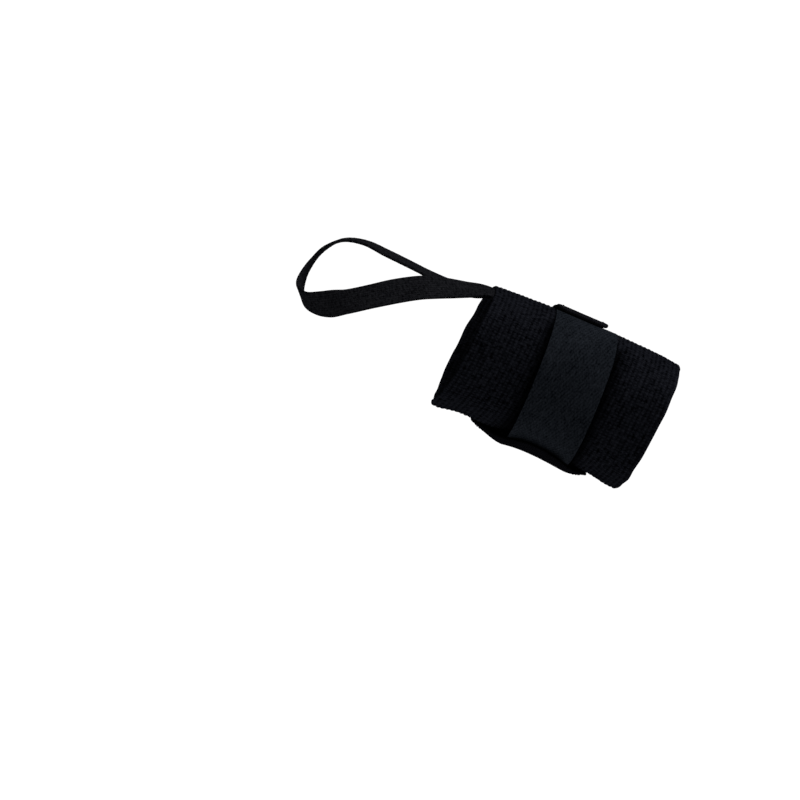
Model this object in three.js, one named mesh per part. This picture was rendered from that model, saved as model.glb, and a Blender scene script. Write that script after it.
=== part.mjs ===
// Elastic wrist support with a thumb loop, in the form it has when worn on the right. Millimetres.
// +X runs to the elbow, -Y to the thumb side and +Z to the dorsal side; the origin is the hollow's centre.
// Angles round the hollow are in degrees: 0 little-finger side, 90 dorsal, 180 thumb side, 270 palmar.

import * as THREE from 'three';

// Driving dimensions: widths, walls, shifts and reaches are lengths; ends, climbs and steps are angles
const LAYER_GAP = 0.3;

const BAND_WIDTH = 75;
const BAND_WALL = 1.6;
const BAND_SHIFT = -0.7;
const BAND_SKEW = 2;
const BAND_OUTER_END = -32;
const BAND_INNER_END = 355;
const BAND_CLIMB = { from: 0, to: 42 };
const BAND_BULGE = { reach: 2.2, angle: 232, spread: 24 };

const STRAP_WIDTH = 25;
const STRAP_WALL = 0.7;
const STRAP_SHIFT = 0.8;
const STRAP_SKEW = -0.8;
const STRAP_TOP_END = 107;
const STRAP_PALM_END = 292;
const STRAP_FLARE = { height: 0.9, lean: 0.35, from: 200, to: 236 };
const STRAP_TAPER = { reach: 0.9, from: 107, to: 150 };

const ANCHOR_WIDTH = 20.4;
const ANCHOR_WALL = 1.3;
const ANCHOR_SHIFT = -2.4;
const ANCHOR_BACK = 48;
const ANCHOR_FRONT = 112;
const ANCHOR_CORNER = 3;
const ANCHOR_STEP = { from: 90, to: 104 };

const TAB_WIDTH = 48;
const TAB_WALL = 1.5;
const TAB_SHIFT = -0.4;
const TAB_TIP = 228;
const TAB_ROOT = 345;
const TAB_CLIMB = { from: 298, to: 324 };
const TAB_CLEAR = 0.8;

const LOOP_WIDTH = 10;
const LOOP_WALL = 1.2;
const LOOP_EDGE = 0.3;
const DORSAL_STRAND = { angle: 107, slant: 0.1, layer: 1 };
const THUMB_STRAND = { angle: 118, slant: 0.7, layer: 0 };
const STEM_SINK = 0.7;
const STEM_MOUTH = -36;
const STEM_DEPTHS = [10, 5, 0];

// Mean radius of the hollow, for turning lengths into angles
const HOLLOW_RADIUS = 26.5;
// Squareness of the hollow's section, where 2 is a plain ellipse
const HOLLOW_SQUARENESS = 2.3;
// Length left flat at the middle of a rounded end
const FLAT_TIP = 0.4;
// Crowding of the sections toward a rounded end
const TIP_CROWDING = 1.6;

// Steps between the two angles that give the way round the hollow, in degrees
const ANGLE_STEP = 0.5;

// Facets of each wall, round the hollow and along it
const BAND_FACETS = { round: 66, along: 12 };
const STRAP_FACETS = { round: 50, along: 6 };
const ANCHOR_FACETS = { round: 20, along: 4 };
const TAB_FACETS = { round: 30, along: 12 };
const LOOP_FACETS_PER_STATION = 4;

// The hollow that the band closes round: reach from its axis at stations along it
const HOLLOW_SECTIONS = [
  { x: -38, dorsal: 24.2, palmar: 22.3, radial: 31.5, ulnar: 31.5 },
  { x: -31, dorsal: 24.7, palmar: 21.2, radial: 30.8, ulnar: 30.8 },
  { x: -24, dorsal: 25.1, palmar: 21.1, radial: 30.3, ulnar: 30.3 },
  { x: -12, dorsal: 25.5, palmar: 21.6, radial: 30.0, ulnar: 30.0 },
  { x: 0, dorsal: 25.5, palmar: 22.1, radial: 30.0, ulnar: 30.0 },
  { x: 12, dorsal: 25.6, palmar: 22.5, radial: 30.4, ulnar: 30.4 },
  { x: 23, dorsal: 25.4, palmar: 22.9, radial: 30.8, ulnar: 30.8 },
  { x: 31, dorsal: 25.1, palmar: 24.2, radial: 31.1, ulnar: 31.1 },
  { x: 38, dorsal: 24.4, palmar: 24.4, radial: 31.5, ulnar: 31.5 },
];

// The thumb loop's middle line outside the band, out along the dorsal side and back along the thumb side.
// tip, side and top say which way its outer face looks: away from the elbow, to the thumb side, and up.
const LOOP_ROUTE = [
  { x: -44.0, y: -8.0, z: 20.6, tip: 0.0, side: 0.3, top: 0.9 },
  { x: -53.0, y: -9.5, z: 19.4, tip: 0.0, side: 0.4, top: 0.9 },
  { x: -65.0, y: -11.4, z: 20.6, tip: 0.0, side: 0.2, top: 1.0 },
  { x: -78.0, y: -12.0, z: 21.3, tip: 0.0, side: 0.2, top: 1.0 },
  { x: -88.0, y: -11.5, z: 21.6, tip: 0.2, side: 0.1, top: 1.0 },
  { x: -95.5, y: -11.0, z: 19.2, tip: 0.6, side: 0.0, top: 0.8 },
  { x: -100.6, y: -11.2, z: 13.4, tip: 0.9, side: -0.1, top: 0.4 },
  { x: -103.0, y: -13.4, z: 6.0, tip: 1.0, side: -0.1, top: 0.0 },
  { x: -103.3, y: -18.4, z: -0.7, tip: 0.9, side: 0.0, top: -0.5 },
  { x: -101.8, y: -25.0, z: -4.8, tip: 0.6, side: 0.3, top: -0.8 },
  { x: -98.0, y: -31.2, z: -5.9, tip: 0.4, side: 0.5, top: -0.8 },
  { x: -93.0, y: -35.8, z: -4.1, tip: 0.3, side: 0.8, top: -0.4 },
  { x: -86.5, y: -38.2, z: -0.3, tip: 0.2, side: 0.8, top: 0.4 },
  { x: -78.5, y: -36.0, z: 5.2, tip: 0.0, side: 0.7, top: 0.6 },
  { x: -70.0, y: -31.2, z: 10.9, tip: -0.1, side: 0.7, top: 0.6 },
  { x: -62.0, y: -25.0, z: 15.3, tip: -0.1, side: 0.7, top: 0.6 },
  { x: -53.0, y: -18.8, z: 18.7, tip: -0.1, side: 0.6, top: 0.8 },
  { x: -45.0, y: -15.0, z: 21.3, tip: 0.0, side: 0.4, top: 0.9 },
  { x: -40.5, y: -13.6, z: 22.4, tip: 0.0, side: 0.3, top: 0.9 },
];

const radians = THREE.MathUtils.degToRad;
const smooth = (value, range) => THREE.MathUtils.smoothstep(value, range.from, range.to);
const mix = THREE.MathUtils.lerp;

// Heights above the hollow at which each layer starts
const OVER_BAND = BAND_WALL + LAYER_GAP;
const OVER_STRAP = OVER_BAND + STRAP_WALL + LAYER_GAP;
const OVER_LAP = 2 * OVER_BAND;

const hollowReach = new THREE.CubicInterpolant(
  HOLLOW_SECTIONS.map((row) => row.x),
  HOLLOW_SECTIONS.flatMap((row) => [row.dorsal, row.palmar, row.radial, row.ulnar]),
  4,
);

// A point of the hollow's wall, on a section whose four quarters meet smoothly
function onHollow(x, angle) {
  const [dorsal, palmar, radial, ulnar] = hollowReach.evaluate(x);
  const across = Math.cos(radians(angle));
  const up = Math.sin(radians(angle));
  const sideways = Math.abs(across / (across > 0 ? ulnar : radial)) ** HOLLOW_SQUARENESS;
  const upright = Math.abs(up / (up > 0 ? dorsal : palmar)) ** HOLLOW_SQUARENESS;
  const radius = (sideways + upright) ** (-1 / HOLLOW_SQUARENESS);
  return new THREE.Vector3(x, radius * across, radius * up);
}

// The way out from the hollow, square to the section there
function outward(x, angle) {
  const along = onHollow(x, angle + ANGLE_STEP).sub(onHollow(x, angle - ANGLE_STEP));
  return new THREE.Vector3(0, along.z, -along.y).normalize();
}

function aboveHollow(x, angle, height) {
  return onHollow(x, angle).addScaledVector(outward(x, angle), height);
}

function mesh(name, geometry, colour, roughness) {
  geometry.computeVertexNormals();
  const material = new THREE.MeshStandardMaterial({ color: colour, roughness, metalness: 0 });
  const made = new THREE.Mesh(geometry, material);
  made.name = name;
  return made;
}

// A closed geometry from rings of points, each joined to the next, with both ends filled by a strip of quads
function lofted(rings) {
  const size = rings[0].length;
  const index = [];
  rings.slice(1).forEach((ring, i) => {
    for (let j = 0; j < size; j += 1) {
      const here = i * size + j;
      const beside = i * size + ((j + 1) % size);
      index.push(here, beside, here + size, beside, beside + size, here + size);
    }
  });
  const last = (rings.length - 1) * size;
  for (let j = 0; j < size / 2 - 1; j += 1) {
    const [a, b, c, d] = [j, j + 1, size - 2 - j, size - 1 - j];
    index.push(a, c, b, a, d, c);
    index.push(last + a, last + b, last + c, last + a, last + c, last + d);
  }
  const geometry = new THREE.BufferGeometry().setFromPoints(rings.flat());
  geometry.setIndex(index);
  return geometry;
}

// A wall round the hollow. place(turn, across) gives x, the angle and the height of its inner face,
// with turn from 0 to 1 round the hollow and across from -1 at the thumb loop's side to 1 at the elbow's.
function wallRound(facets, wall, place) {
  const rings = [];
  for (let i = 0; i <= facets.round; i += 1) {
    const inner = [];
    const outer = [];
    for (let j = 0; j <= facets.along; j += 1) {
      const { x, angle, height } = place(i / facets.round, (2 * j) / facets.along - 1);
      inner.push(aboveHollow(x, angle, height));
      outer.push(aboveHollow(x, angle, height + wall));
    }
    rings.push([...inner, ...outer.reverse()]);
  }
  return lofted(rings);
}

// Half the width of a strip at a distance from its end, which has rounded corners
function halfWidth(width, corner, distance) {
  const short = corner - Math.min(Math.max(distance, FLAT_TIP), corner);
  return width / 2 - corner + Math.sqrt(corner ** 2 - short ** 2);
}

function wristBand() {
  return wallRound(BAND_FACETS, BAND_WALL, (turn, across) => {
    const angle = mix(BAND_OUTER_END, BAND_INNER_END, turn);
    const middle = BAND_SHIFT + BAND_SKEW * Math.sin(radians(angle));
    const height = OVER_BAND * (1 - smooth(angle, BAND_CLIMB));
    const bulge = BAND_BULGE.reach * Math.exp(-(((angle - BAND_BULGE.angle) / BAND_BULGE.spread) ** 2));
    const x = middle + (across * BAND_WIDTH) / 2 - bulge * Math.max(0, -across) ** 2;
    return { x, angle, height };
  });
}

function strapMiddle(angle) {
  return STRAP_SHIFT + STRAP_SKEW * Math.sin(radians(angle));
}

// Height of the strap's flared edges, more on the thumb loop's side than on the elbow's
function flareHeight(across) {
  return STRAP_FLARE.height - STRAP_FLARE.lean * across;
}

function closureStrap() {
  return wallRound(STRAP_FACETS, STRAP_WALL, (turn, across) => {
    const angle = mix(STRAP_TOP_END, STRAP_PALM_END, turn);
    const flare = flareHeight(across) * across ** 4 * smooth(angle, STRAP_FLARE);
    const taper = STRAP_TAPER.reach * Math.max(0, across) * (1 - smooth(angle, STRAP_TAPER));
    const x = strapMiddle(angle) + (across * STRAP_WIDTH) / 2 - taper;
    return { x, angle, height: OVER_BAND + flare };
  });
}

function strapAnchor() {
  return wallRound(ANCHOR_FACETS, ANCHOR_WALL, (turn, across) => {
    const angle = ANCHOR_FRONT - (ANCHOR_FRONT - ANCHOR_BACK) * (1 - turn) ** TIP_CROWDING;
    const fromFront = radians(ANCHOR_FRONT - angle) * HOLLOW_RADIUS;
    const half = halfWidth(ANCHOR_WIDTH, ANCHOR_CORNER, fromFront);
    const height = mix(OVER_BAND, OVER_STRAP, smooth(angle, ANCHOR_STEP));
    return { x: ANCHOR_SHIFT + across * half, angle, height };
  });
}

// The tab rides over the strap's flared edges, drapes to the band beside them and climbs onto its lapped end
function palmTab() {
  return wallRound(TAB_FACETS, TAB_WALL, (turn, across) => {
    const angle = TAB_TIP + (TAB_ROOT - TAB_TIP) * turn ** TIP_CROWDING;
    const fromTip = radians(angle - TAB_TIP) * HOLLOW_RADIUS;
    const x = TAB_SHIFT + across * halfWidth(TAB_WIDTH, TAB_WIDTH / 2, fromTip);
    const fromStrap = x - strapMiddle(angle);
    const aside = Math.abs(fromStrap);
    const rim = TAB_WIDTH / 2 + Math.sign(fromStrap) * (TAB_SHIFT - strapMiddle(angle));
    const share = Math.min(1, aside / (STRAP_WIDTH / 2));
    const ridge = flareHeight(share * Math.sign(fromStrap)) * share ** 2;
    const lapped = smooth(angle, TAB_CLIMB);
    const overStrap = mix(OVER_STRAP + ridge, OVER_LAP, lapped);
    const besideStrap = mix(OVER_BAND, OVER_LAP, lapped);
    const draped = smooth(aside, { from: STRAP_WIDTH / 2 + TAB_CLEAR, to: rim });
    return { x, angle, height: mix(overStrap, besideStrap, draped) };
  });
}

// A flat strap's section with eased edges: width across, wall along its outer face's direction
function strapSection(width, wall, edge) {
  const [a, n] = [width / 2, wall / 2];
  const corners = [[a - edge, -n], [a, edge - n], [a, n - edge], [a - edge, n]];
  return [...corners, ...corners.map(([p, q]) => [-p, -q])];
}

// One end of the loop, tucked under the band's edge. angle is the strand's place at the edge, slant how far
// it turns back for each millimetre under the band, and layer counts from the band inwards.
function tuckedEnd({ angle, slant, layer }) {
  const sunk = STEM_SINK + LOOP_WALL / 2 + layer * (LOOP_WALL + STEM_SINK);
  return STEM_DEPTHS.map((depth) => {
    const [x, turned] = [STEM_MOUTH + depth, angle - slant * depth];
    return { at: aboveHollow(x, turned, -sunk), facing: outward(x, turned) };
  });
}

function thumbLoop() {
  const free = LOOP_ROUTE.map(({ x, y, z, tip, side, top }) => ({
    at: new THREE.Vector3(x, y, z),
    facing: new THREE.Vector3(-tip, -side, top).normalize(),
  }));
  const stations = [...tuckedEnd(DORSAL_STRAND), ...free, ...tuckedEnd(THUMB_STRAND).reverse()];
  const route = new THREE.CatmullRomCurve3(stations.map((station) => station.at));
  const facings = new THREE.CatmullRomCurve3(stations.map((station) => station.facing));
  const section = strapSection(LOOP_WIDTH, LOOP_WALL, LOOP_EDGE);
  const steps = LOOP_FACETS_PER_STATION * (stations.length - 1);
  const rings = [];
  for (let i = 0; i <= steps; i += 1) {
    const middle = route.getPoint(i / steps);
    const along = route.getTangent(i / steps);
    const across = facings.getPoint(i / steps).cross(along).normalize();
    const out = along.clone().cross(across);
    rings.push(section.map(([p, q]) => middle.clone().addScaledVector(across, p).addScaledVector(out, q)));
  }
  return lofted(rings);
}

const support = new THREE.Group();
support.add(
  mesh('wrist_band', wristBand(), '#0e0e12', 0.95),
  mesh('closure_strap', closureStrap(), '#17191d', 0.9),
  mesh('strap_anchor', strapAnchor(), '#0b0b0d', 0.85),
  mesh('palm_tab', palmTab(), '#0b0b0d', 0.85),
  mesh('thumb_loop', thumbLoop(), '#151517', 0.9),
);

export default support;
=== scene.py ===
import math
from dataclasses import dataclass
from typing import Callable

import bpy
import numpy as np
from mathutils import Matrix, Vector


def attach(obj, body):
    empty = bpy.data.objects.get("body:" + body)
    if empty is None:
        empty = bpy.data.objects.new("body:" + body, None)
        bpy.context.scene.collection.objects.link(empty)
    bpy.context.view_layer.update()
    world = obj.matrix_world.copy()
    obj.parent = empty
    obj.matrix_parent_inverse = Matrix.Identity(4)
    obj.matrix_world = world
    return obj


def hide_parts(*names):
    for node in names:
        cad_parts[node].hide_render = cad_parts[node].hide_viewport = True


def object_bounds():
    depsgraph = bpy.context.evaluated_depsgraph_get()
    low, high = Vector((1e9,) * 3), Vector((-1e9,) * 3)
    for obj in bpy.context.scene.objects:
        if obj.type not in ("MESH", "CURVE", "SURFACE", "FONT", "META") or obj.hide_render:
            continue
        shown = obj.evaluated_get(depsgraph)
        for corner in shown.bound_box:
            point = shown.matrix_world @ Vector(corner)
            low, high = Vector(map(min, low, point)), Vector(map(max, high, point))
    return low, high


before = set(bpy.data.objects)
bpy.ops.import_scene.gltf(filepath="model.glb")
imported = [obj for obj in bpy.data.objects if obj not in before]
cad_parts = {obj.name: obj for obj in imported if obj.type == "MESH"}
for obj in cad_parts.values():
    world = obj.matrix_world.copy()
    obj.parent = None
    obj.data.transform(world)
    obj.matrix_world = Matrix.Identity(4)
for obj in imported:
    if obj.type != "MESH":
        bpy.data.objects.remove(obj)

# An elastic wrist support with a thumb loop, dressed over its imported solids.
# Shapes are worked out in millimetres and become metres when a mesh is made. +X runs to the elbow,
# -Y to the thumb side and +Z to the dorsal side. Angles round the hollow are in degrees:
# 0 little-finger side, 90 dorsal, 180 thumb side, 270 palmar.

MM = 0.001
BODY = "root"
CAD_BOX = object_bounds()

# Sizes of the solids, repeated from the part
LAYER_GAP = 0.3
BAND_WIDTH = 75
BAND_WALL = 1.6
BAND_SHIFT = -0.7
BAND_SKEW = 2
BAND_ENDS = (-32, 355)
BAND_CLIMB = (0, 42)
BAND_BULGE = 2.2
BAND_BULGE_ANGLE = 232
BAND_BULGE_SPREAD = 24

STRAP_WIDTH = 25
STRAP_WALL = 0.7
STRAP_SHIFT = 0.8
STRAP_SKEW = -0.8
STRAP_ENDS = (107, 292)
STRAP_FLARE = 0.9
STRAP_FLARE_LEAN = 0.35
STRAP_FLARE_RANGE = (200, 236)
STRAP_TAPER = 0.9
STRAP_TAPER_RANGE = (107, 150)

ANCHOR_WIDTH = 20.4
ANCHOR_WALL = 1.3
ANCHOR_SHIFT = -2.4
ANCHOR_ENDS = (48, 112)
ANCHOR_CORNER = 3
ANCHOR_STEP = (90, 104)

TAB_WIDTH = 48
TAB_WALL = 1.5
TAB_SHIFT = -0.4
TAB_ENDS = (228, 345)
TAB_CLIMB = (298, 324)
TAB_CLEAR = 0.8

LOOP_WIDTH = 10
LOOP_WALL = 1.2
STEM_SINK = 0.7
STEM_MOUTH = -36
STEM_DEPTHS = (10, 5, 0)
# The loop's ends under the band: each one's angle, its slant for each millimetre of depth, and its layer
DORSAL_STRAND = (107, 0.1, 1)
THUMB_STRAND = (118, 0.7, 0)

# Distances along a strip are measured at this radius of the hollow
HOLLOW_RADIUS = 26.5
HOLLOW_SQUARENESS = 2.3

OVER_BAND = BAND_WALL + LAYER_GAP
OVER_STRAP = OVER_BAND + STRAP_WALL + LAYER_GAP
OVER_LAP = 2 * OVER_BAND

# The hollow's sections. Columns: x, dorsal reach, palmar reach, reach to either side.
HOLLOW_SECTIONS = np.array([
    (-38, 24.2, 22.3, 31.5),
    (-31, 24.7, 21.2, 30.8),
    (-24, 25.1, 21.1, 30.3),
    (-12, 25.5, 21.6, 30.0),
    (0, 25.5, 22.1, 30.0),
    (12, 25.6, 22.5, 30.4),
    (23, 25.4, 22.9, 30.8),
    (31, 25.1, 24.2, 31.1),
    (38, 24.4, 24.4, 31.5),
])

# The thumb loop's middle line outside the band, out along the dorsal side and back along the thumb side.
# Columns: x, y, z, then how far its outer face looks away from the elbow, to the thumb side, and up.
LOOP_ROUTE = np.array([
    (-44.0, -8.0, 20.6, 0.0, 0.3, 0.9),
    (-53.0, -9.5, 19.4, 0.0, 0.4, 0.9),
    (-65.0, -11.4, 20.6, 0.0, 0.2, 1.0),
    (-78.0, -12.0, 21.3, 0.0, 0.2, 1.0),
    (-88.0, -11.5, 21.6, 0.2, 0.1, 1.0),
    (-95.5, -11.0, 19.2, 0.6, 0.0, 0.8),
    (-100.6, -11.2, 13.4, 0.9, -0.1, 0.4),
    (-103.0, -13.4, 6.0, 1.0, -0.1, 0.0),
    (-103.3, -18.4, -0.7, 0.9, 0.0, -0.5),
    (-101.8, -25.0, -4.8, 0.6, 0.3, -0.8),
    (-98.0, -31.2, -5.9, 0.4, 0.5, -0.8),
    (-93.0, -35.8, -4.1, 0.3, 0.8, -0.4),
    (-86.5, -38.2, -0.3, 0.2, 0.8, 0.4),
    (-78.5, -36.0, 5.2, 0.0, 0.7, 0.6),
    (-70.0, -31.2, 10.9, -0.1, 0.7, 0.6),
    (-62.0, -25.0, 15.3, -0.1, 0.7, 0.6),
    (-53.0, -18.8, 18.7, -0.1, 0.6, 0.8),
    (-45.0, -15.0, 21.3, 0.0, 0.4, 0.9),
    (-40.5, -13.6, 22.4, 0.0, 0.3, 0.9),
])

# The band's knit: pitch of its ribs and stitches, its height and the stitches' share of that, and mesh steps
BAND_RIB = 1.72
BAND_STITCH = 1.0
BAND_RELIEF = 0.17
BAND_STITCH_SHARE = 0.4
BAND_ROWS_PER_STITCH = 2
BAND_COLUMNS_PER_RIB = 4
BAND_LINING_COLUMNS = 20
# The band's waviness: each edge sways in its own way along the wrist, and the wall swells and sinks a little
EDGE_SWAY = 0.3
EDGE_SWAY_DEGREES = 11
EDGE_SWAY_APART = 20
EDGE_SWAY_POWER = 4
EDGE_SWAY_SEED = 1
BAND_SWELL = 0.12
BAND_SWELL_CELL = 9
BAND_SWELL_SEED = 2

# The strap's pile: its grain, a coarser grain over that, its twill's pitch along and across, and its height
STRAP_NAP = 0.42
STRAP_NAP_SEED = 3
STRAP_CLUMP = 2.3
STRAP_CLUMP_SHARE = 0.7
STRAP_CLUMP_SEED = 4
STRAP_TWILL = (2.3, 1.28)
STRAP_RELIEF = 0.035
# The strap's edges: how they thin out, and how they curl and flare up
STRAP_EDGE = 0.25
STRAP_EDGE_RUN = 1.5
STRAP_CURL = 0.25
STRAP_CURL_POWER = 6
STRAP_CURL_RANGES = (112, 128), (200, 225)
STRAP_FLARE_POWER = 4

# The tab's and the bar's tape, and how their edges thin out
TAPE_RIB = 0.75
TAPE_RELIEF = 0.06
TAPE_STITCH_SHARE = 0.5
TAPE_STEPS_PER_RIB = 2
TAPE_EDGE = 0.45
TAPE_EDGE_RUN = 3.5
BAR_EDGE = 0.12
BAR_EDGE_RUN = 1.5
BAR_RIM = 0.35

# The loop's webbing
LOOP_RIB = 0.9
LOOP_STITCH = 0.8
LOOP_RELIEF = 0.06
LOOP_STITCH_SHARE = 0.4
LOOP_ROWS_PER_STITCH = 3
LOOP_COLUMNS_PER_RIB = 4

# Unevenness of every weave, in ribs and stitches: how far ribs wander, and how much stitches differ in height
RIB_WANDER = 0.12
RIB_WANDER_CELL = 2.5
RIB_WANDER_SEED = 6
STITCH_UNEVEN = 0.8
STITCH_UNEVEN_CELL = 1
STITCH_UNEVEN_SEED = 5
# Cells each way before any unevenness repeats
DRIFT_LATTICE = 64

# Where the loop's ends come out, the band's rim is thinner inside and the ends ride up under it
STEM_ROOM = 1.0
STEM_ROOM_RUN = (3, 9)
STEM_ROOM_STARTS = (84, 96)
STEM_ROOM_STOPS = (128, 140)
STEM_LIFT = 1.8
STEM_LIFT_AT = -37
STEM_LIFT_OUTSIDE = 5
STEM_LIFT_INSIDE = 6

# The fold in the band beside the strap: its depth, where it lies round the hollow, and its run into the
# band, which widens on the loop's side. Near the strap's sewn end the band swells there instead, by a share
# of that depth. The same shape darkens the band's colour there, as painted shade.
CREASE_DEPTH = 0.5
CREASE_SWELL = 0.6
CREASE_SWELL_STARTS = (94, 106)
CREASE_STARTS = (116, 142)
CREASE_STOPS = (250, 272)
CREASE_UNDER = 1.5
CREASE_ELBOW_SIDE = 3.4
CREASE_LOOP_SIDE = (3.2, 5.6)
CREASE_LOOP_SIDE_RANGE = (180, 236)

# Painted shade on the strap's middle where it dips under the tab's round tip: how dark, and its run up the
# strap
TIP_PAINTED_SHADE = 0.8
TIP_PAINTED_SHADE_RUN = 2.2
TIP_PAINTED_SHADE_POWER = 4

# Shortest step between two knots of a curve, in whatever it measures
LEAST_STEP = 1e-6
# Steps between two stations of the loop, along a strip's middle line, along a seam, and over a rounded rim
PATH_STEPS = 40
ARC_STEPS = 400
SEAM_STEPS = 200
RIM_STEPS = 4
# Least half width of a rounded tip
TIP_HALF = 1.5

# Sewing: a seam's distance from the edge, a stitch's length and pitch, and its thread. Rise and sink are
# shares of the thread's radius, and so are its girth at a stitch's ends and what its middle has more.
SEAM_INSET = 2.2
STITCH_LENGTH = 2.1
STITCH_PITCH = 2.7
THREAD_RADIUS = 0.17
THREAD_RISE = 1.6
THREAD_SINK = 0.8
THREAD_END_GIRTH = 0.55
THREAD_FULLNESS = 0.45
THREAD_SIDES = 6
THREAD_RINGS = 7

# Tones of the patterns: the low between two rows of knit, every second row, the low of a weave, and the
# strength of a twill's two directions
KNIT_LOW = 0.15
KNIT_SECOND_ROW = 0.7
WEAVE_LOW = 0.25
TWILL_MAIN = 0.6
TWILL_COUNTER = 0.2
# Unevenness of a cloth's tone: scale and detail of each kind, then their weights
FIBRE_DETAIL = 4.0
CLUMP_SCALE = 0.5
DYE_SCALE = 0.07
CLOUD_DETAIL = 2.0
YARN_SCALE = 0.8
YARN_DETAIL = 1.0
FIBRE_TONE = 1.4
CLUMP_TONE = 0.5
DYE_TONE = 0.5
# A cloth's middle tone, the pattern's and the noise's level there, the fibres' height, the tone left under
# the darkest painted shade, and the least and most roughness
MIDDLE_TONE = 0.45
MIDDLE_FIGURE = 0.3
MIDDLE_NOISE = 0.5
FIBRE_HEIGHT = 0.4
PAINTED_SHADE_TONE = 0.15
CLOTH_ROUGHNESS = (0.82, 0.98)

# The picture: where the origin falls in it, its scale, and the camera's direction, roll and distance
PICTURE_SIDE = 800
ORIGIN_PIXEL = (556.5, 388)
PIXELS_PER_MM = 2.68
CAMERA_AZIMUTH = -3.5
CAMERA_ELEVATION = 3
CAMERA_ROLL = 23.4
CAMERA_DISTANCE = 1400
SENSOR_WIDTH = 36

# Light and floor, in metres and watts. The key light's place is along the camera's right, up and backward
# directions.
KEY_PLACE = (0.65, 0.75, 0.06)
KEY_SIZE = 0.7
KEY_POWER = 30
SKY_STRENGTH = 1.05
FLOOR_DROP = 0.35
FLOOR_SIZE = 8
FLOOR_COLOUR = (0.98, 0.98, 0.98)
FLOOR_ROUGHNESS = 0.9


# Curves and surfaces

def smoothstep(value, span):
    share = np.clip((value - span[0]) / (span[1] - span[0]), 0, 1)
    return share * share * (3 - 2 * share)


def mix(a, b, share):
    return a + (b - a) * share


def table_curve(knots, values, at):
    """Smooth values between a table's knots, each knot's slope taken from its neighbours."""
    slopes = np.gradient(values, knots)
    slopes[1:-1] = (values[2:] - values[:-2]) / (knots[2:] - knots[:-2])
    at = np.clip(at, knots[0], knots[-1])
    i = np.clip(np.searchsorted(knots, at, side="right") - 1, 0, len(knots) - 2)
    span = knots[i + 1] - knots[i]
    t = (at - knots[i]) / span
    start = values[i] * (1 + 2 * t) * (1 - t) ** 2 + slopes[i] * span * t * (1 - t) ** 2
    finish = values[i + 1] * t * t * (3 - 2 * t) - slopes[i + 1] * span * t * t * (1 - t)
    return start + finish


def smooth_path(points, steps):
    """A centripetal curve through the points, with even steps between each two."""
    ends = [2 * points[0] - points[1]], [2 * points[-1] - points[-2]]
    p = np.concatenate([ends[0], points, ends[1]])
    knot = np.sqrt(np.maximum(np.linalg.norm(np.diff(p, axis=0), axis=1), LEAST_STEP))[:, None]
    before, span, after = knot[:-2], knot[1:-1], knot[2:]
    leap = (p[2:-1] - p[1:-2]) / span
    leave = (p[1:-2] - p[:-3]) / before - (p[2:-1] - p[:-3]) / (before + span) + leap
    reach = leap - (p[3:] - p[1:-2]) / (span + after) + (p[3:] - p[2:-1]) / after
    t = (np.arange(steps) / steps)[None, :, None]
    a, b = p[1:-2, None], p[2:-1, None]
    va, vb = (leave * span)[:, None], (reach * span)[:, None]
    near = a * (1 + 2 * t) * (1 - t) ** 2 + va * t * (1 - t) ** 2
    line = near + b * t * t * (3 - 2 * t) - vb * t * t * (1 - t)
    return np.concatenate([line.reshape(-1, 3), points[-1:]])


def on_hollow(x, angle):
    """Points of the hollow's wall."""
    dorsal, palmar, side = (table_curve(HOLLOW_SECTIONS[:, 0], column, x) for column in HOLLOW_SECTIONS.T[1:])
    across = np.cos(np.radians(angle))
    up = np.sin(np.radians(angle))
    sideways = np.abs(across / side) ** HOLLOW_SQUARENESS
    upright = np.abs(up / np.where(up > 0, dorsal, palmar)) ** HOLLOW_SQUARENESS
    radius = (sideways + upright) ** (-1 / HOLLOW_SQUARENESS)
    return np.stack([x, radius * across, radius * up], axis=-1)


def outward(x, angle, step=0.5):
    along = on_hollow(x, angle + step) - on_hollow(x, angle - step)
    out = np.stack([np.zeros_like(x), along[..., 2], -along[..., 1]], axis=-1)
    return unit(out)


def above_hollow(x, angle, height):
    return on_hollow(x, angle) + outward(x, angle) * height[..., None]


def unit(vectors):
    return vectors / np.linalg.norm(vectors, axis=-1, keepdims=True)


def drift(u, v, cell, seed):
    """Slow seeded unevenness, from -1 to 1, over a surface whose places and cell share one measure."""
    lattice = np.random.default_rng(seed).uniform(-1, 1, (DRIFT_LATTICE, DRIFT_LATTICE))
    i, j = np.floor(u / cell).astype(int), np.floor(v / cell).astype(int)
    s, t = u / cell - i, v / cell - j
    s, t = s * s * (3 - 2 * s), t * t * (3 - 2 * t)
    corner = [lattice[(i + a) % DRIFT_LATTICE, (j + b) % DRIFT_LATTICE] for a in (0, 1) for b in (0, 1)]
    return mix(mix(corner[0], corner[1], t), mix(corner[2], corner[3], t), s)


# Meshes

def make_mesh(name, points, quads, triangles, uv, painted_shade=0.0):
    """A smooth mesh object from points in millimetres, faces, and a uv and a painted shade for each point."""
    mesh = bpy.data.meshes.new(name)
    corners = np.concatenate([np.ravel(quads), np.ravel(triangles)]).astype(np.int32)
    sizes = np.repeat([4, 3], [len(quads), len(triangles)])
    mesh.vertices.add(len(points))
    mesh.vertices.foreach_set("co", np.ravel(points * MM).astype(np.float32))
    mesh.loops.add(len(corners))
    mesh.loops.foreach_set("vertex_index", corners)
    mesh.polygons.add(len(sizes))
    mesh.polygons.foreach_set("loop_start", (np.cumsum(sizes) - sizes).astype(np.int32))
    mesh.polygons.foreach_set("use_smooth", np.ones(len(sizes), bool))
    layer = mesh.uv_layers.new(name="weave")
    layer.data.foreach_set("uv", np.ravel(uv[corners]).astype(np.float32))
    # Painted shade: how much each point's colour is darkened, from 0 to 1
    shade = mesh.attributes.new("painted_shade", "FLOAT", "POINT")
    shade.data.foreach_set("value", np.broadcast_to(painted_shade, len(points)).astype(np.float32))
    mesh.update(calc_edges=True)
    made = bpy.data.objects.new(name, mesh)
    bpy.context.scene.collection.objects.link(made)
    return made


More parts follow.
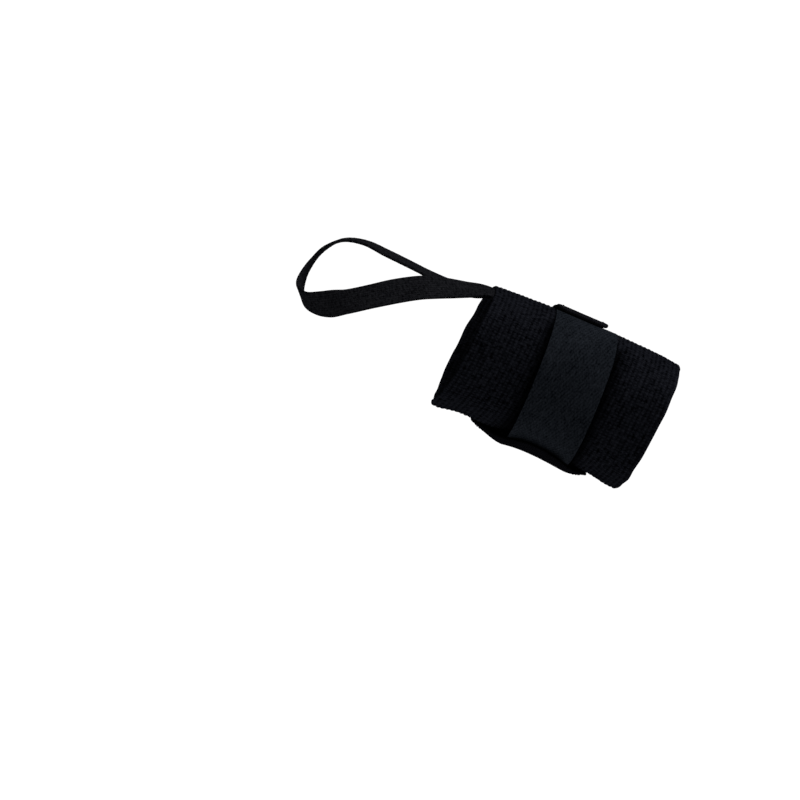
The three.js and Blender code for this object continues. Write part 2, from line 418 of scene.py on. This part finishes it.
def grid_quads(numbers):
    """The quads of a grid of vertex numbers."""
    corners = [numbers[:-1, :-1], numbers[1:, :-1], numbers[1:, 1:], numbers[:-1, 1:]]
    return np.stack(corners, axis=-1).reshape(-1, 4)


def sheet_mesh(name, face, lining, uv, painted_shade, lining_columns):
    """A closed mesh of two grids that meet at their outline. The lining may keep fewer columns."""
    rows, columns = face.shape[:2]
    numbers = np.arange(rows * columns).reshape(rows, columns)
    picked = np.unique(np.linspace(0, columns - 1, lining_columns).round().astype(int))
    under = numbers[:, picked].copy()
    inner = under[1:-1, 1:-1]
    inner[:] = rows * columns + np.arange(inner.size).reshape(inner.shape)
    quads = np.concatenate([grid_quads(numbers), grid_quads(under[1:-1])[:, ::-1]])
    triangles = []
    for edge, beside, forward in ((0, 1, True), (rows - 1, rows - 2, False)):
        for k in range(len(picked) - 1):
            left, right = under[beside, k : k + 2]
            middle = (picked[k] + picked[k + 1]) // 2
            fan = [(numbers[edge, j], numbers[edge, j + 1], left if j < middle else right)
                   for j in range(picked[k], picked[k + 1])]
            fan.append((right, left, numbers[edge, middle]))
            triangles += fan if forward else [turned[::-1] for turned in fan]
    points = np.concatenate([face.reshape(-1, 3), lining[1:-1, picked[1:-1]].reshape(-1, 3)])
    places = np.concatenate([uv.reshape(-1, 2), uv[1:-1, picked[1:-1]].reshape(-1, 2)])
    painted_shades = np.concatenate([painted_shade.ravel(), np.zeros(inner.size)])
    return make_mesh(name, points, quads, np.array(triangles), places, painted_shades)


def crowded(length, count, radius):
    """Distances from 0 to length: even steps, and finer ones over a rim of that radius at each end."""
    turn = np.linspace(0, np.pi / 2, RIM_STEPS, endpoint=False)
    rim = radius * (1 - np.cos(turn))
    return np.concatenate([rim, np.linspace(radius, length - radius, count + 1), length - rim[::-1]])


def rounded_start(length, corner, step):
    """Distances from 0 to length that follow a rounded first end evenly, then go on in even steps."""
    turn = np.linspace(0, np.pi / 2, round(corner * np.pi / 2 / step), endpoint=False)
    bend = corner * (1 - np.cos(turn))
    rest = crowded(length - corner, round((length - corner) / step), step)[RIM_STEPS:]
    return np.concatenate([bend, [corner], corner + rest])


def rim_share(inset, radius):
    """Share of a wall's thickness at a distance in from its outline, which is rounded to that radius."""
    short = 1 - np.clip(inset / radius, 0, 1)
    return np.sqrt(1 - short ** 2)


@dataclass
class Strip:
    """A wall laid round the hollow. Along is measured from its first end and aside from its middle line.

    Its outline is rounded to rim. Place gives x and the height over the hollow, edge_drop is what the face
    loses at the outline and regains over edge_run, and thinned is what the lining loses.
    """
    name: str
    width: float
    wall: float
    rim: float
    ends: tuple
    place: Callable
    corners: tuple = (0, 0)
    edge_drop: float = 0
    edge_run: float = 1
    thinned: Callable = lambda angle, aside: 0.0

    @property
    def length(self):
        return math.radians(self.ends[1] - self.ends[0]) * HOLLOW_RADIUS

    def angle(self, along):
        return self.ends[0] + np.degrees(along / HOLLOW_RADIUS)

    def half_width(self, along):
        half = np.full_like(along, self.width / 2)
        for corner, gone in zip(self.corners, (along, self.length - along)):
            short = corner - np.clip(gone, 0, corner)
            half = np.minimum(half, self.width / 2 - corner + np.sqrt(corner ** 2 - short ** 2))
        return np.maximum(half, TIP_HALF)

    def inset(self, along, aside):
        """Distance in from the strip's outline."""
        inside = self.width / 2 - np.abs(aside)
        for corner, gone in zip(self.corners, (along, self.length - along)):
            past = np.abs(aside) - (self.width / 2 - corner)
            rounded = corner - np.hypot(corner - gone, past)
            inside = np.minimum(inside, np.where((gone < corner) & (past > 0), rounded, gone))
        return np.maximum(inside, 0)

    def facing(self, along, aside):
        angle = self.angle(along)
        return outward(self.place(angle, aside)[0], angle)

    def at(self, along, aside, depth):
        """Points of the wall, where depth is -1 on the lining, 0 in the middle and 1 on the face."""
        angle = self.angle(along)
        x, height = self.place(angle, aside)
        inset = self.inset(along, aside)
        less = self.thinned(angle, aside)
        drop = self.edge_drop * (1 - smoothstep(inset, (0, self.edge_run))) if depth > 0 else 0
        thick = rim_share(inset, self.rim) * ((self.wall - less) / 2 - drop)
        return above_hollow(x, angle, height + (self.wall + less) / 2 + depth * thick)

    def arc(self):
        """Length of the wall's middle line."""
        along = np.linspace(0, self.length, ARC_STEPS)
        line = self.at(along, np.zeros_like(along), 0)
        return np.linalg.norm(np.diff(line, axis=0), axis=1).sum()

    def mesh(self, alongs, columns, weave, relief, painted_shade=None, lining_columns=None):
        """The strip as a closed mesh with relief on its face."""
        shares = crowded(self.width, columns, self.rim) * 2 / self.width - 1
        along = np.repeat(alongs[:, None], len(shares), axis=1)
        aside = shares * self.half_width(along)
        raised = relief(along, aside) * rim_share(self.inset(along, aside), self.rim)
        face = self.at(along, aside, 1) + self.facing(along, aside) * raised[..., None]
        lining = self.at(along, aside, -1)
        uv = np.stack(weave.count(along, aside), axis=-1)
        # Painted shade for each point, which darkens the face's colour
        painted_shades = painted_shade(along, aside) if painted_shade else np.zeros_like(along)
        return sheet_mesh(self.name, face, lining, uv, painted_shades, lining_columns or len(shares))


class Weave:
    """Ribs along a strip, each a row of stitches that lie off the next rib's by the stagger."""

    def __init__(self, length, width, wall, stitch, rib, stagger=0.5):
        self.length, self.width, self.wall, self.stagger = length, width, wall, stagger
        self.stitches = round((length - wall) / stitch)
        self.ribs = round((width - wall) / rib)

    def count(self, along, aside):
        """Stitches and ribs counted from the strip's first corner."""
        down = (along - self.wall / 2) / (self.length - self.wall) * self.stitches
        across = (aside + self.width / 2 - self.wall / 2) / (self.width - self.wall) * self.ribs
        return down, across

    def relief(self, along, aside, height, stitch_share):
        down, across = self.count(along, aside)
        across = across + RIB_WANDER * drift(down, across, RIB_WANDER_CELL, RIB_WANDER_SEED)
        crest = 0.5 + 0.5 * np.cos(2 * np.pi * across)
        stitched = np.cos(2 * np.pi * (down + self.stagger * np.round(across)))
        uneven = 1 + STITCH_UNEVEN * drift(down, across, STITCH_UNEVEN_CELL, STITCH_UNEVEN_SEED)
        return height * (uneven * crest * (1 - stitch_share + stitch_share * stitched) - 0.5)


# The pieces

def band_place(angle, aside):
    wave = drift(angle, np.sign(aside) * EDGE_SWAY_APART, EDGE_SWAY_DEGREES, EDGE_SWAY_SEED)
    sway = EDGE_SWAY * wave * (2 * np.abs(aside) / BAND_WIDTH) ** EDGE_SWAY_POWER
    bulge = BAND_BULGE * np.exp(-((angle - BAND_BULGE_ANGLE) / BAND_BULGE_SPREAD) ** 2)
    x = BAND_SHIFT + BAND_SKEW * np.sin(np.radians(angle)) + aside + sway
    x = x - bulge * np.maximum(0, -2 * aside / BAND_WIDTH) ** 2
    swell = BAND_SWELL * drift(angle * HOLLOW_RADIUS * np.pi / 180, aside, BAND_SWELL_CELL, BAND_SWELL_SEED)
    return x, OVER_BAND * (1 - smoothstep(angle, BAND_CLIMB)) + swell


def stem_room(angle, aside):
    """How much thinner the band is over the loop's ends."""
    near = 1 - smoothstep(aside + BAND_WIDTH / 2, STEM_ROOM_RUN)
    over = smoothstep(angle, STEM_ROOM_STARTS) * (1 - smoothstep(angle, STEM_ROOM_STOPS))
    return STEM_ROOM * near * over


def strap_middle(angle):
    return STRAP_SHIFT + STRAP_SKEW * np.sin(np.radians(angle))


def flare_height(share):
    """Height of the strap's flared edges, more on the thumb loop's side than on the elbow's."""
    return STRAP_FLARE - STRAP_FLARE_LEAN * share


def strap_place(angle, aside):
    """The strap lies on the band with its edges curled up a little, and more toward the palm."""
    share = 2 * aside / STRAP_WIDTH
    flare = flare_height(share) * share ** STRAP_FLARE_POWER * smoothstep(angle, STRAP_FLARE_RANGE)
    starts, stops = STRAP_CURL_RANGES
    curl = STRAP_CURL * share ** STRAP_CURL_POWER * smoothstep(angle, starts) * (1 - smoothstep(angle, stops))
    taper = STRAP_TAPER * np.maximum(0, share) * (1 - smoothstep(angle, STRAP_TAPER_RANGE))
    return strap_middle(angle) + aside - taper, OVER_BAND + flare + curl


def strap_crease_and_painted_shade(along, aside):
    """Depth of the band's fold beside the strap at a point, from 1 to below 0 where it swells; it also sets
    painted shade.
    """
    angle = BAND.angle(along)
    from_strap = BAND.place(angle, aside)[0] - strap_middle(angle)
    beside = np.abs(from_strap) - STRAP_WIDTH / 2
    loop_side = mix(*CREASE_LOOP_SIDE, smoothstep(angle, CREASE_LOOP_SIDE_RANGE))
    run = np.where(beside < 0, CREASE_UNDER, np.where(from_strap < 0, loop_side, CREASE_ELBOW_SIDE))
    reach = smoothstep(angle, CREASE_SWELL_STARTS) * (1 - smoothstep(angle, CREASE_STOPS))
    return reach * mix(-CREASE_SWELL, 1, smoothstep(angle, CREASE_STARTS)) * np.exp(-(beside / run) ** 2)


def tab_tip_painted_shade(along, aside):
    """How dark the painted shade is at a point of the strap, near where its middle dips under the tab's round
    tip.
    """
    angle = STRAP.angle(along)
    past_tip = np.radians(angle - TAB_ENDS[0]) * HOLLOW_RADIUS
    from_tab = np.hypot(TAB_WIDTH / 2 - past_tip, STRAP.place(angle, aside)[0] - TAB_SHIFT) - TAB_WIDTH / 2
    middle = 1 - (2 * aside / STRAP_WIDTH) ** TIP_PAINTED_SHADE_POWER
    return TIP_PAINTED_SHADE * middle * np.exp(-(np.maximum(from_tab, 0) / TIP_PAINTED_SHADE_RUN) ** 2)


def anchor_place(angle, aside):
    return ANCHOR_SHIFT + aside, mix(OVER_BAND, OVER_STRAP, smoothstep(angle, ANCHOR_STEP))


def tab_place(angle, aside):
    """The tab rides over the strap's flared edges, drapes to the band beside them and climbs its lap."""
    x = TAB_SHIFT + aside
    from_strap = x - strap_middle(angle)
    beside = np.abs(from_strap)
    rim = TAB_WIDTH / 2 + np.sign(from_strap) * (TAB_SHIFT - strap_middle(angle))
    share = np.minimum(1, beside / (STRAP_WIDTH / 2))
    ridge = flare_height(share * np.sign(from_strap)) * share ** 2
    lapped = smoothstep(angle, TAB_CLIMB)
    over_strap = mix(OVER_STRAP + ridge, OVER_LAP, lapped)
    beside_strap = mix(OVER_BAND, OVER_LAP, lapped)
    draped = smoothstep(beside, (STRAP_WIDTH / 2 + TAB_CLEAR, rim))
    return x, mix(over_strap, beside_strap, draped)


BAND = Strip("ribbed_band", BAND_WIDTH, BAND_WALL, BAND_WALL / 2, BAND_ENDS, band_place, thinned=stem_room)
STRAP = Strip("brushed_strap", STRAP_WIDTH, STRAP_WALL, STRAP_WALL / 2, STRAP_ENDS, strap_place,
              edge_drop=STRAP_EDGE, edge_run=STRAP_EDGE_RUN)
ANCHOR = Strip("anchor_bar", ANCHOR_WIDTH, ANCHOR_WALL, BAR_RIM, ANCHOR_ENDS, anchor_place,
               corners=(0, ANCHOR_CORNER), edge_drop=BAR_EDGE, edge_run=BAR_EDGE_RUN)
TAB = Strip("closing_tab", TAB_WIDTH, TAB_WALL, TAB_WALL / 2, TAB_ENDS, tab_place,
            corners=(TAB_WIDTH / 2, 0), edge_drop=TAPE_EDGE, edge_run=TAPE_EDGE_RUN)


def ribbed_band():
    weave = Weave(BAND.length, BAND_WIDTH, BAND_WALL, BAND_STITCH, BAND_RIB, stagger=0)
    alongs = crowded(BAND.length, BAND_ROWS_PER_STITCH * weave.stitches, BAND.rim)
    columns = BAND_COLUMNS_PER_RIB * weave.ribs

    def relief(along, aside):
        knit = weave.relief(along, aside, BAND_RELIEF, BAND_STITCH_SHARE)
        return knit - CREASE_DEPTH * strap_crease_and_painted_shade(along, aside)

    # The fold's depth also darkens the band's colour there, as painted shade
    return BAND.mesh(alongs, columns, weave, relief, strap_crease_and_painted_shade, BAND_LINING_COLUMNS)


def brushed_strap():
    weave = Weave(STRAP.length, STRAP_WIDTH, STRAP_WALL, *STRAP_TWILL)
    alongs = crowded(STRAP.length, round(STRAP.length / STRAP_NAP), STRAP.rim)

    def relief(along, aside):
        nap = drift(along, aside, STRAP_NAP, STRAP_NAP_SEED)
        clumps = drift(along, aside, STRAP_CLUMP * STRAP_NAP, STRAP_CLUMP_SEED)
        return STRAP_RELIEF * (nap + STRAP_CLUMP_SHARE * clumps)

    # The strap's colour darkens as painted shade just above the tab's round tip
    return STRAP.mesh(alongs, round(STRAP_WIDTH / STRAP_NAP), weave, relief, tab_tip_painted_shade)


def taped(strip, alongs):
    weave = Weave(strip.length, strip.width, strip.wall, TAPE_RIB, TAPE_RIB)

    def relief(along, aside):
        return weave.relief(along, aside, TAPE_RELIEF, TAPE_STITCH_SHARE)

    return strip.mesh(alongs, TAPE_STEPS_PER_RIB * weave.ribs, weave, relief)


def anchor_bar():
    steps = round(TAPE_STEPS_PER_RIB * ANCHOR.length / TAPE_RIB)
    return taped(ANCHOR, crowded(ANCHOR.length, steps, ANCHOR.rim))


def closing_tab():
    return taped(TAB, rounded_start(TAB.length, TAB_WIDTH / 2, TAPE_RIB / TAPE_STEPS_PER_RIB))


def tucked_end(angle, slant, layer):
    """Stations and facings of one end of the loop, tucked under the band at an angle that slants back.

    Layer counts from the band inwards.
    """
    depth = np.array(STEM_DEPTHS, float)
    x, turned = STEM_MOUTH + depth, angle - slant * depth
    sunk = STEM_SINK + LOOP_WALL / 2 + layer * (LOOP_WALL + STEM_SINK)
    return above_hollow(x, turned, np.full_like(x, -sunk)), outward(x, turned)


def stem_lift(x):
    run = np.where(x < STEM_LIFT_AT, STEM_LIFT_OUTSIDE, STEM_LIFT_INSIDE)
    return STEM_LIFT * (1 - smoothstep(np.abs(x - STEM_LIFT_AT) / run, (0, 1)))


def loop_line():
    """The loop's middle line, the way its face looks, and the distance gone, at even steps."""
    dorsal, thumb = tucked_end(*DORSAL_STRAND), tucked_end(*THUMB_STRAND)
    facing = unit(LOOP_ROUTE[:, 3:] * (-1, -1, 1))
    stations = np.concatenate([dorsal[0], LOOP_ROUTE[:, :3], thumb[0][::-1]])
    stations[:, 2] += stem_lift(stations[:, 0])
    facings = np.concatenate([dorsal[1], facing, thumb[1][::-1]])
    line = smooth_path(stations, PATH_STEPS)
    looks = smooth_path(facings, PATH_STEPS)
    gone = np.concatenate([[0], np.cumsum(np.linalg.norm(np.diff(line, axis=0), axis=1))])
    return line, looks, gone


def loop_tape():
    line, looks, gone = loop_line()
    length = gone[-1]
    weave = Weave(length, LOOP_WIDTH, LOOP_WALL, LOOP_STITCH, LOOP_RIB)
    alongs = crowded(length, LOOP_ROWS_PER_STITCH * weave.stitches, LOOP_WALL / 2)
    middle = np.stack([np.interp(alongs, gone, column) for column in line.T], axis=-1)
    look = np.stack([np.interp(alongs, gone, column) for column in looks.T], axis=-1)
    tangent = unit(np.gradient(middle, alongs, axis=0))
    sideways = unit(np.cross(look, tangent))
    out = np.cross(tangent, sideways)
    asides = crowded(LOOP_WIDTH, LOOP_COLUMNS_PER_RIB * weave.ribs, LOOP_WALL / 2) - LOOP_WIDTH / 2
    along, aside = np.meshgrid(alongs, asides, indexing="ij")
    inset = np.minimum(LOOP_WIDTH / 2 - np.abs(aside), np.minimum(along, length - along))
    share = rim_share(np.maximum(inset, 0), LOOP_WALL / 2)
    thick = share * (LOOP_WALL / 2 + weave.relief(along, aside, LOOP_RELIEF, LOOP_STITCH_SHARE))
    ground = middle[:, None] + sideways[:, None] * aside[..., None]
    lift = out[:, None] * thick[..., None]
    uv = np.stack(weave.count(along, aside), axis=-1)
    unshaded = np.zeros_like(along)
    made = sheet_mesh("loop_tape", ground + lift, ground - lift, uv, unshaded, len(asides))
    return made, length


# Sewing

def seam_stitches(line, facing):
    """Threads of a seam along a line of points: each stitch rises from the cloth and dips back into it."""
    gone = np.concatenate([[0], np.cumsum(np.linalg.norm(np.diff(line, axis=0), axis=1))])
    count = max(1, round(gone[-1] / STITCH_PITCH))
    starts = (np.arange(count) + 0.5) * gone[-1] / count - STITCH_LENGTH / 2
    share = np.linspace(0, 1, THREAD_RINGS)
    at = starts[:, None] + STITCH_LENGTH * share
    middle = np.stack([np.interp(at, gone, column) for column in line.T], axis=-1)
    out = unit(np.stack([np.interp(at, gone, column) for column in facing.T], axis=-1))
    arch = np.sin(np.pi * share)
    middle = middle + out * (THREAD_RADIUS * (THREAD_RISE * arch - THREAD_SINK))[:, None]
    tangent = unit(np.gradient(middle, axis=1))
    sideways = np.cross(tangent, out)
    turn = np.linspace(0, 2 * np.pi, THREAD_SIDES, endpoint=False)
    girth = THREAD_RADIUS * (THREAD_END_GIRTH + THREAD_FULLNESS * arch)[:, None, None]
    ring = np.cos(turn)[:, None] * sideways[:, :, None] + np.sin(turn)[:, None] * out[:, :, None]
    points = middle[:, :, None] + girth * ring
    return points.reshape(count, -1, 3)


def stitching(name, seams):
    """All the threads of some seams as one mesh."""
    threads = np.concatenate([seam_stitches(line, facing) for line, facing in seams])
    rings = np.arange(THREAD_RINGS * THREAD_SIDES).reshape(THREAD_RINGS, THREAD_SIDES)
    quads = grid_quads(np.concatenate([rings, rings[:, :1]], axis=1))
    fan = np.array([(0, k, k + 1) for k in range(1, THREAD_SIDES - 1)])
    caps = np.concatenate([fan, (fan + rings[-1, 0])[:, ::-1]])
    offsets = np.arange(len(threads))[:, None, None] * rings.size
    quads = (quads + offsets).reshape(-1, 4)
    caps = (caps + offsets).reshape(-1, 3)
    points = threads.reshape(-1, 3)
    uv = np.stack([np.arange(len(points)) % rings.size / THREAD_SIDES, np.zeros(len(points))], axis=-1)
    return make_mesh(name, points, quads, caps, uv)


def seam_on(strip, along, aside):
    return strip.at(along, aside, 1), strip.facing(along, aside)


def seam_along(strip, start, finish, aside):
    along = np.linspace(start, finish, SEAM_STEPS)
    return seam_on(strip, along, np.full_like(along, aside))


def seam_across(strip, along, start, finish):
    aside = np.linspace(start, finish, SEAM_STEPS)
    return seam_on(strip, np.full_like(aside, along), aside)


def round_seam(strip, corner):
    """A seam parallel to a strip's round first end."""
    turn = np.linspace(-np.pi / 2, np.pi / 2, SEAM_STEPS)
    reach = corner - SEAM_INSET
    return seam_on(strip, corner - reach * np.cos(turn), reach * np.sin(turn))


def anchor_stitching():
    side = ANCHOR_WIDTH / 2 - SEAM_INSET
    near, far = SEAM_INSET, ANCHOR.length - SEAM_INSET
    seams = [seam_along(ANCHOR, near, far, aside) for aside in (-side, side)]
    seams += [seam_across(ANCHOR, along, -side, side) for along in (near, far)]
    return stitching("anchor_stitching", seams)


def tab_stitching():
    side = TAB_WIDTH / 2 - SEAM_INSET
    far = TAB.length - SEAM_INSET
    seams = [round_seam(TAB, TAB_WIDTH / 2)]
    seams += [seam_along(TAB, TAB_WIDTH / 2, far, aside) for aside in (-side, side)]
    seams += [seam_across(TAB, along, -side, side) for along in (far - 2 * SEAM_INSET, far)]
    return stitching("tab_stitching", seams)


def band_stitching():
    """The hem of the band's outer end."""
    side = BAND_WIDTH / 2 - SEAM_INSET
    return stitching("band_stitching", [seam_across(BAND, 2 * SEAM_INSET, -side, side)])


# Materials

class Nodes:
    """Short ways to add and link a material's nodes."""

    def __init__(self, material):
        self.tree = material.node_tree

    def add(self, kind, **values):
        node = self.tree.nodes.new("ShaderNode" + kind)
        for name, value in values.items():
            setattr(node, name, value)
        return node

    def feed(self, node, **inputs):
        """Links or sets a node's inputs, each given by its name, or by its number after an i."""
        for name, value in inputs.items():
            numbered = name[1:].isdigit()
            socket = node.inputs[int(name[1:]) if numbered else name.replace("_", " ")]
            if isinstance(value, bpy.types.NodeSocket):
                self.tree.links.new(value, socket)
            else:
                socket.default_value = value
        return node

    def math(self, operation, a, b=0.0):
        node = self.add("Math", operation=operation)
        return self.feed(node, i0=a, i1=b).outputs[0]

    def noise(self, vector, scale, detail):
        node = self.add("TexNoise")
        return self.feed(node, Vector=vector, Scale=scale, Detail=detail).outputs["Fac"]

    def wave(self, count):
        """A cosine that goes from 1 at whole counts to 0 half way between them."""
        turned = self.math("COSINE", self.math("MULTIPLY", count, 2 * math.pi))
        return self.math("MULTIPLY", self.math("ADD", turned, 1.0), 0.5)

    def ramp(self, factor, low, high):
        node = self.add("MapRange")
        return self.feed(node, Value=factor, To_Min=low, To_Max=high).outputs["Result"]


def knitted(nodes, down, across):
    """Ribs whose stitches lie side by side, every second one of them fainter."""
    rows = nodes.ramp(nodes.wave(down), KNIT_LOW, 1.0)
    pairs = nodes.ramp(nodes.wave(nodes.math("MULTIPLY", down, 0.5)), KNIT_SECOND_ROW, 1.0)
    return nodes.math("MULTIPLY", nodes.wave(across), nodes.math("MULTIPLY", rows, pairs))


def woven(nodes, down, across):
    """Ribs whose stitches lie half a stitch off their neighbours'."""
    shifted = nodes.math("ADD", down, nodes.math("MULTIPLY", nodes.math("ROUND", across), 0.5))
    return nodes.math("MULTIPLY", nodes.wave(across), nodes.ramp(nodes.wave(shifted), WEAVE_LOW, 1.0))


def twilled(nodes, down, across):
    """Fine lines that slant both ways, one way more than the other."""
    main, counter = (nodes.wave(nodes.math(way, across, down)) for way in ("ADD", "SUBTRACT"))
    main = nodes.math("MULTIPLY", main, TWILL_MAIN)
    return nodes.math("ADD", main, nodes.math("MULTIPLY", counter, TWILL_COUNTER))


def cloth(name, dark, light, pattern, pitch, share, fibre, lift, uneven):
    """A matte cloth with a pattern of stitches and ribs, fine fibres and uneven dye.

    Pitch is a stitch's and a rib's size in millimetres, share is the pattern's strength, fibre is how many
    fibres lie in a millimetre, lift is the relief in millimetres, and uneven says how far one stitch's tone
    differs from the next one's.
    """
    material = bpy.data.materials.new(name)
    material.use_nodes = True
    nodes = Nodes(material)
    shader = material.node_tree.nodes["Principled BSDF"]
    weave = nodes.add("UVMap", uv_map="weave").outputs["UV"]
    split = nodes.feed(nodes.add("SeparateXYZ"), Vector=weave)
    down, across = split.outputs["X"], split.outputs["Y"]
    figure = pattern(nodes, down, across)
    sized = nodes.feed(nodes.add("Mapping"), Vector=weave, Scale=(*pitch, 1.0)).outputs["Vector"]
    fibres = nodes.noise(sized, fibre, FIBRE_DETAIL)
    clumps = nodes.noise(sized, CLUMP_SCALE, CLOUD_DETAIL)
    dye = nodes.noise(sized, DYE_SCALE, CLOUD_DETAIL)
    yarns = nodes.noise(weave, YARN_SCALE, YARN_DETAIL)
    raised = nodes.math("MULTIPLY", figure, share)
    height = nodes.math("ADD", raised, nodes.math("MULTIPLY", fibres, FIBRE_HEIGHT))
    bump = nodes.feed(nodes.add("Bump"), Height=height, Strength=1.0, Distance=lift * MM)
    tone = nodes.math("MULTIPLY", nodes.math("SUBTRACT", figure, MIDDLE_FIGURE), share)
    for noise, weight in ((fibres, FIBRE_TONE), (yarns, uneven), (clumps, CLUMP_TONE), (dye, DYE_TONE)):
        change = nodes.math("MULTIPLY", nodes.math("SUBTRACT", noise, MIDDLE_NOISE), weight)
        tone = nodes.math("ADD", tone, change)
    colour = nodes.add("ValToRGB")
    colour.color_ramp.elements[0].color = (*dark, 1)
    colour.color_ramp.elements[1].color = (*light, 1)
    nodes.feed(colour, Fac=nodes.math("ADD", tone, MIDDLE_TONE))
    # Painted shade: a per-point attribute darkens the colour, down to a share of it
    painted_shade = nodes.add("Attribute", attribute_name="painted_shade").outputs["Fac"]
    shaded = nodes.add("VectorMath", operation="SCALE")
    nodes.feed(shaded, i0=colour.outputs["Color"], Scale=nodes.ramp(painted_shade, 1.0, PAINTED_SHADE_TONE))
    rough = nodes.ramp(fibres, *CLOTH_ROUGHNESS)
    nodes.feed(shader, Base_Color=shaded.outputs["Vector"], Roughness=rough, Normal=bump.outputs["Normal"])
    shader.inputs["Specular IOR Level"].default_value = 0.0
    return material


def plain(name, colour, roughness):
    material = bpy.data.materials.new(name)
    material.use_nodes = True
    shader = material.node_tree.nodes["Principled BSDF"]
    shader.inputs["Base Color"].default_value = (*colour, 1)
    shader.inputs["Roughness"].default_value = roughness
    return material


ELASTIC = cloth("ribbed_elastic", dark=(0.0001, 0.0001, 0.0002), light=(0.0038, 0.0041, 0.0055),
                pattern=knitted, pitch=(BAND_STITCH, BAND_RIB), share=0.6, fibre=2.4, lift=0.2, uneven=1.1)
BRUSHED = cloth("brushed_strap", dark=(0.0001, 0.0002, 0.0004), light=(0.0057, 0.0067, 0.0085),
                pattern=twilled, pitch=STRAP_TWILL, share=0.3, fibre=1.6, lift=0.1, uneven=0.45)
TAPE = cloth("hook_tape", dark=(0.0001, 0.0001, 0.0001), light=(0.0017, 0.0017, 0.0024),
             pattern=woven, pitch=(TAPE_RIB, TAPE_RIB), share=0.5, fibre=3.0, lift=0.12, uneven=0.8)
BAR = cloth("bar_tape", dark=(0.0001, 0.0001, 0.0002), light=(0.0042, 0.0042, 0.0052),
            pattern=woven, pitch=(TAPE_RIB, TAPE_RIB), share=0.5, fibre=3.0, lift=0.12, uneven=0.8)
WEBBING = cloth("loop_elastic", dark=(0.0001, 0.0001, 0.0002), light=(0.0052, 0.0053, 0.0062),
                pattern=woven, pitch=(LOOP_STITCH, LOOP_RIB), share=0.3, fibre=1.2, lift=0.1, uneven=0.8)
THREAD = cloth("thread", dark=(0.0004, 0.0004, 0.0006), light=(0.0040, 0.0040, 0.0050),
               pattern=woven, pitch=(0.4, 0.4), share=0.3, fibre=5.0, lift=0.04, uneven=0.5)


# Dressing the part

def dress(piece, material, node=None):
    piece.data.materials.append(material)
    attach(piece, BODY)
    if node:
        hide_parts(node)
    return piece


band_seam = dress(band_stitching(), THREAD)
anchor_seam = dress(anchor_stitching(), THREAD)
tab_seam = dress(tab_stitching(), THREAD)
band = dress(ribbed_band(), ELASTIC, "wrist_band")
strap = dress(brushed_strap(), BRUSHED, "closure_strap")
anchor = dress(anchor_bar(), BAR, "strap_anchor")
tab = dress(closing_tab(), TAPE, "palm_tab")
loop, loop_length = loop_tape()
dress(loop, WEBBING, "thumb_loop")

BAND.arc() * MM
STRAP.arc() * MM
ANCHOR.arc() * MM
TAB.arc() * MM


# Camera, light and floor

def camera_axes():
    """The camera's right, up and backward directions."""
    azimuth, elevation, roll = map(math.radians, (CAMERA_AZIMUTH, CAMERA_ELEVATION, CAMERA_ROLL))
    back = Vector((math.sin(azimuth) * math.cos(elevation), -math.cos(azimuth) * math.cos(elevation),
                   math.sin(elevation)))
    level = Vector((math.cos(azimuth), math.sin(azimuth), 0))
    rise = back.cross(level)
    right = level * math.cos(roll) + rise * math.sin(roll)
    up = rise * math.cos(roll) - level * math.sin(roll)
    return right, up, back


def pose(right, up, back, place):
    matrix = Matrix((right, up, back)).transposed().to_4x4()
    matrix.translation = place
    return matrix


RIGHT, UP, BACK = camera_axes()
OFF_RIGHT = PICTURE_SIDE / 2 - ORIGIN_PIXEL[0]
OFF_UP = ORIGIN_PIXEL[1] - PICTURE_SIDE / 2
AIM = (RIGHT * OFF_RIGHT + UP * OFF_UP) * MM / PIXELS_PER_MM


def add_camera():
    data = bpy.data.cameras.new("camera")
    data.sensor_width = SENSOR_WIDTH
    data.lens = PIXELS_PER_MM * CAMERA_DISTANCE / PICTURE_SIDE * SENSOR_WIDTH
    camera = bpy.data.objects.new("camera", data)
    camera.matrix_world = pose(RIGHT, UP, BACK, AIM + BACK * CAMERA_DISTANCE * MM)
    bpy.context.scene.collection.objects.link(camera)
    bpy.context.scene.camera = camera


def add_light(name, place, size, power):
    """A square soft light that looks at the origin, placed from there along the camera's directions."""
    data = bpy.data.lights.new(name, "AREA")
    data.size = size
    data.energy = power
    light = bpy.data.objects.new(name, data)
    away = RIGHT * place[0] + UP * place[1] + BACK * place[2]
    light.location = away
    light.rotation_euler = away.to_track_quat("Z", "Y").to_euler()
    bpy.context.scene.collection.objects.link(light)


def add_floor():
    mesh = bpy.data.meshes.new("floor")
    half = FLOOR_SIZE / 2
    low = CAD_BOX[0].z - FLOOR_DROP
    corners = [(-half, -half, low), (half, -half, low), (half, half, low), (-half, half, low)]
    mesh.from_pydata(corners, [], [(0, 1, 2, 3)])
    floor = bpy.data.objects.new("floor", mesh)
    floor.data.materials.append(plain("floor", FLOOR_COLOUR, FLOOR_ROUGHNESS))
    bpy.context.scene.collection.objects.link(floor)


def add_sky():
    world = bpy.data.worlds.new("studio")
    world.use_nodes = True
    background = world.node_tree.nodes["Background"]
    background.inputs["Color"].default_value = (1, 1, 1, 1)
    background.inputs["Strength"].default_value = SKY_STRENGTH
    bpy.context.scene.world = world
    bpy.context.scene.view_settings.view_transform = "Standard"
    bpy.context.scene.cycles.use_denoising = False


add_camera()
add_light("key", KEY_PLACE, KEY_SIZE, KEY_POWER)
add_floor()
add_sky()
